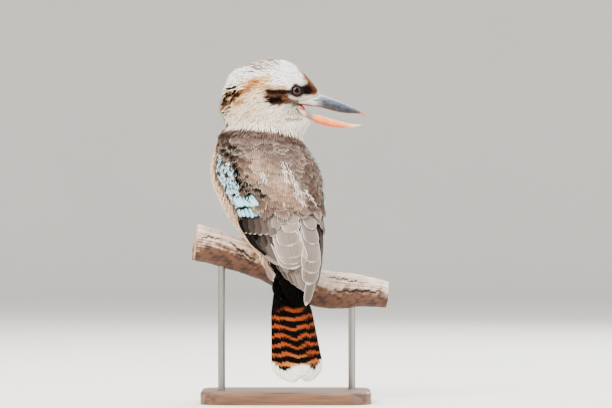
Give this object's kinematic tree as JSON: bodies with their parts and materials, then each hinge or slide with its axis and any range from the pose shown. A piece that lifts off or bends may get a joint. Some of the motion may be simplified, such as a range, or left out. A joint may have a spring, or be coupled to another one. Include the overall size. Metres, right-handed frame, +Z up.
{
  "type": "perched bird display model",
  "caption": "Life-size laughing kookaburra seen perched on a cut branch, head turned over its right shoulder with the bill open, held by rods on a flat base.",
  "frame": {"origin": "middle of the underside of the stand's base", "axes": "+Z up from the base to the bird's crown; the bird's back faces -Y and its bill points to +X"},
  "size_m": [0.2197, 0.1436, 0.3845],
  "materials": {
    "feather_white": "soft white and cream feathers with brown streaks",
    "feather_cream": "grey-brown mantle feathers with pale fringes, cream below",
    "feather_brown": "dark brown wing feathers with pale blue spots",
    "feather_barred": "rufous tail feathers barred black, tipped white",
    "bill_dark": "dark horn with a satin sheen",
    "bill_pale": "pale orange horn with a satin sheen",
    "eye": "dark brown, wet gloss",
    "claw": "black horn",
    "skin": "grey-olive scaly skin",
    "perch_wood": "weathered bare wood",
    "stand_wood": "dark oiled wood, satin",
    "stand_metal": "satin steel"
  },
  "bodies": {
    "root": {"claw_left_1": "claw", "claw_left_2": "claw", "claw_left_3": "claw", "claw_left_4": "claw", "claw_right_1": "claw", "claw_right_2": "claw", "claw_right_3": "claw", "claw_right_4": "claw", "eye_left": "eye", "eye_right": "eye", "foot_left": "skin", "foot_right": "skin", "head": "feather_white", "leg_left": "skin", "leg_right": "skin", "lower_bill": "bill_pale", "neck": "feather_white", "perch": "perch_wood", "stand_base": "stand_wood", "stand_rod_left": "stand_metal", "stand_rod_right": "stand_metal", "tail": "feather_barred", "torso": "feather_cream", "upper_bill": "bill_dark", "wing_left": "feather_brown", "wing_right": "feather_brown"}
  },
  "joints": []
}
